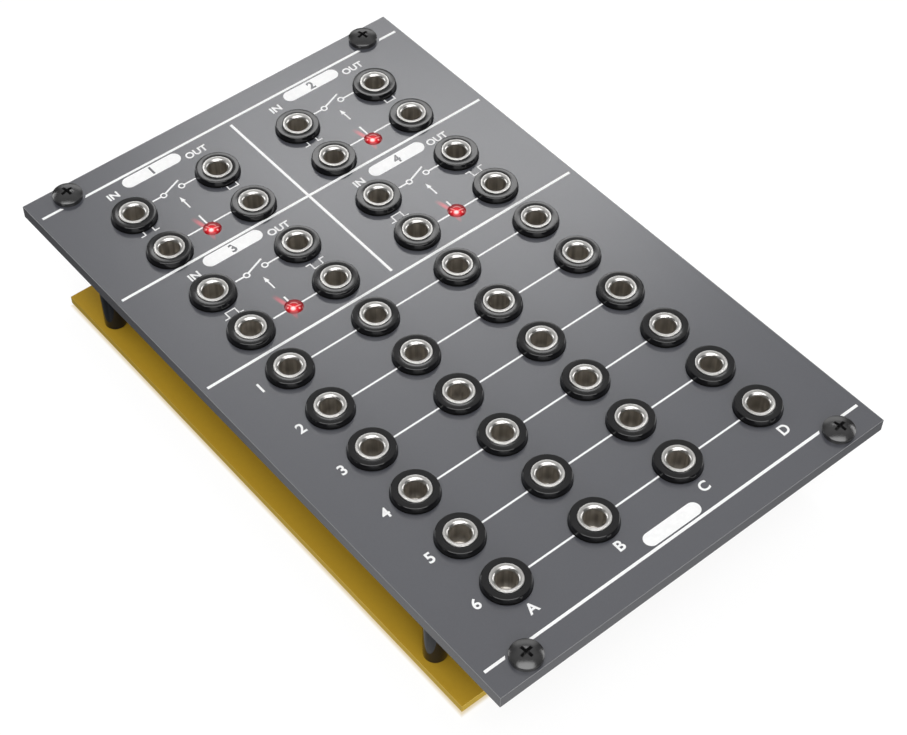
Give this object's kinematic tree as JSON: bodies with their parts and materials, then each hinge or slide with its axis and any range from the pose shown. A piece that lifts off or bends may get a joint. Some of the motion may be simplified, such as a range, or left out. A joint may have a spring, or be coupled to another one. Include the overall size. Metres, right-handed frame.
{
  "type": "eurorack module",
  "caption": "Flat eurorack module: a grey panel of jack sockets with red LEDs and printed lines, over a mustard circuit board on black standoffs.",
  "frame": {"origin": "bottom centre of the object's box, on the surface under the board's screws", "axes": "+Z is the panel's front normal, +Y points to the panel's top edge, +X to its right"},
  "size_m": [0.0808, 0.1284, 0.0184],
  "materials": {
    "panel_grey": "satin dark grey paint",
    "board_mustard": "mustard solder mask",
    "black_metal": "black oxide",
    "jack_black": "gloss black",
    "bright_plate": "bright nickel",
    "led_red": "clear red",
    "white_nylon": "moulded",
    "chip_black": "moulded"
  },
  "bodies": {
    "module": {"front_panel": "panel_grey", "circuit_board": "board_mustard", "power_socket": "white_nylon", "switch_chip": "chip_black", "standoff_top_left": "black_metal", "board_screw_top_left": "black_metal", "standoff_top_right": "black_metal", "board_screw_top_right": "black_metal", "standoff_bottom_left": "black_metal", "board_screw_bottom_left": "black_metal", "standoff_bottom_right": "black_metal", "board_screw_bottom_right": "black_metal", "gate_1_in_jack": "jack_black", "gate_1_out_jack": "jack_black", "gate_1_pulse_jack": "jack_black", "gate_1_inverted_jack": "jack_black", "gate_2_in_jack": "jack_black", "gate_2_out_jack": "jack_black", "gate_2_pulse_jack": "jack_black", "gate_2_inverted_jack": "jack_black", "gate_3_in_jack": "jack_black", "gate_3_out_jack": "jack_black", "gate_3_pulse_jack": "jack_black", "gate_3_inverted_jack": "jack_black", "gate_4_in_jack": "jack_black", "gate_4_out_jack": "jack_black", "gate_4_pulse_jack": "jack_black", "gate_4_inverted_jack": "jack_black", "jack_1_a": "jack_black", "jack_1_b": "jack_black", "jack_1_c": "jack_black", "jack_1_d": "jack_black", "jack_2_a": "jack_black", "jack_2_b": "jack_black", "jack_2_c": "jack_black", "jack_2_d": "jack_black", "jack_3_a": "jack_black", "jack_3_b": "jack_black", "jack_3_c": "jack_black", "jack_3_d": "jack_black", "jack_4_a": "jack_black", "jack_4_b": "jack_black", "jack_4_c": "jack_black", "jack_4_d": "jack_black", "jack_5_a": "jack_black", "jack_5_b": "jack_black", "jack_5_c": "jack_black", "jack_5_d": "jack_black", "jack_6_a": "jack_black", "jack_6_b": "jack_black", "jack_6_c": "jack_black", "jack_6_d": "jack_black", "gate_1_led": "led_red", "gate_2_led": "led_red", "gate_3_led": "led_red", "gate_4_led": "led_red"},
    "top_left_screw": {"mounting_screw_top_left": "black_metal"},
    "top_right_screw": {"mounting_screw_top_right": "black_metal"},
    "bottom_left_screw": {"mounting_screw_bottom_left": "black_metal"},
    "bottom_right_screw": {"mounting_screw_bottom_right": "black_metal"}
  },
  "joints": [
    {"name": "top_left_screw_turn", "type": "hinge", "parent": "module", "child": "top_left_screw", "pos_m": [-0.03295, 0.06125, 0.0168], "axis": [0, 0, 1], "continuous": true},
    {"name": "top_right_screw_turn", "type": "hinge", "parent": "module", "child": "top_right_screw", "pos_m": [0.03309, 0.06125, 0.0168], "axis": [0, 0, 1], "continuous": true},
    {"name": "bottom_left_screw_turn", "type": "hinge", "parent": "module", "child": "bottom_left_screw", "pos_m": [-0.03295, -0.06125, 0.0168], "axis": [0, 0, 1], "continuous": true},
    {"name": "bottom_right_screw_turn", "type": "hinge", "parent": "module", "child": "bottom_right_screw", "pos_m": [0.03309, -0.06125, 0.0168], "axis": [0, 0, 1], "continuous": true}
  ]
}
